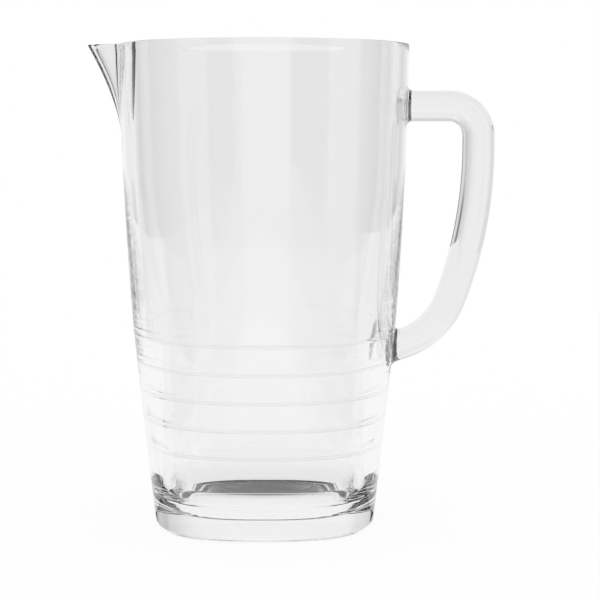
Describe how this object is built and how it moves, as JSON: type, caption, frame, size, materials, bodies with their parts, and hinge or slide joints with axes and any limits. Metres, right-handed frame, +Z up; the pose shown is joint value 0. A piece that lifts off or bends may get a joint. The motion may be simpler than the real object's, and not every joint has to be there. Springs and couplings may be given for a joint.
{
  "type": "beer pitcher",
  "caption": "Clear glass pitcher: round rim turning square at the heavy foot, pinched pouring spout, raised rings low on the wall, and a fused-on bow handle.",
  "frame": {"origin": "centre of the flat standing face, on the axis of the round body", "axes": "+Z up through the mouth, -X towards the spout, +X towards the handle, +Y to the left side seen from the handle"},
  "size_m": [0.191, 0.136, 0.225],
  "materials": {
    "clear_glass": "fire-polished clear soda-lime glass, very slightly green in its thick parts",
    "handle_glass": "fire-polished clear soda-lime glass, drawn and fused on"
  },
  "bodies": {
    "root": {"vessel": "clear_glass", "handle": "handle_glass"}
  },
  "joints": []
}
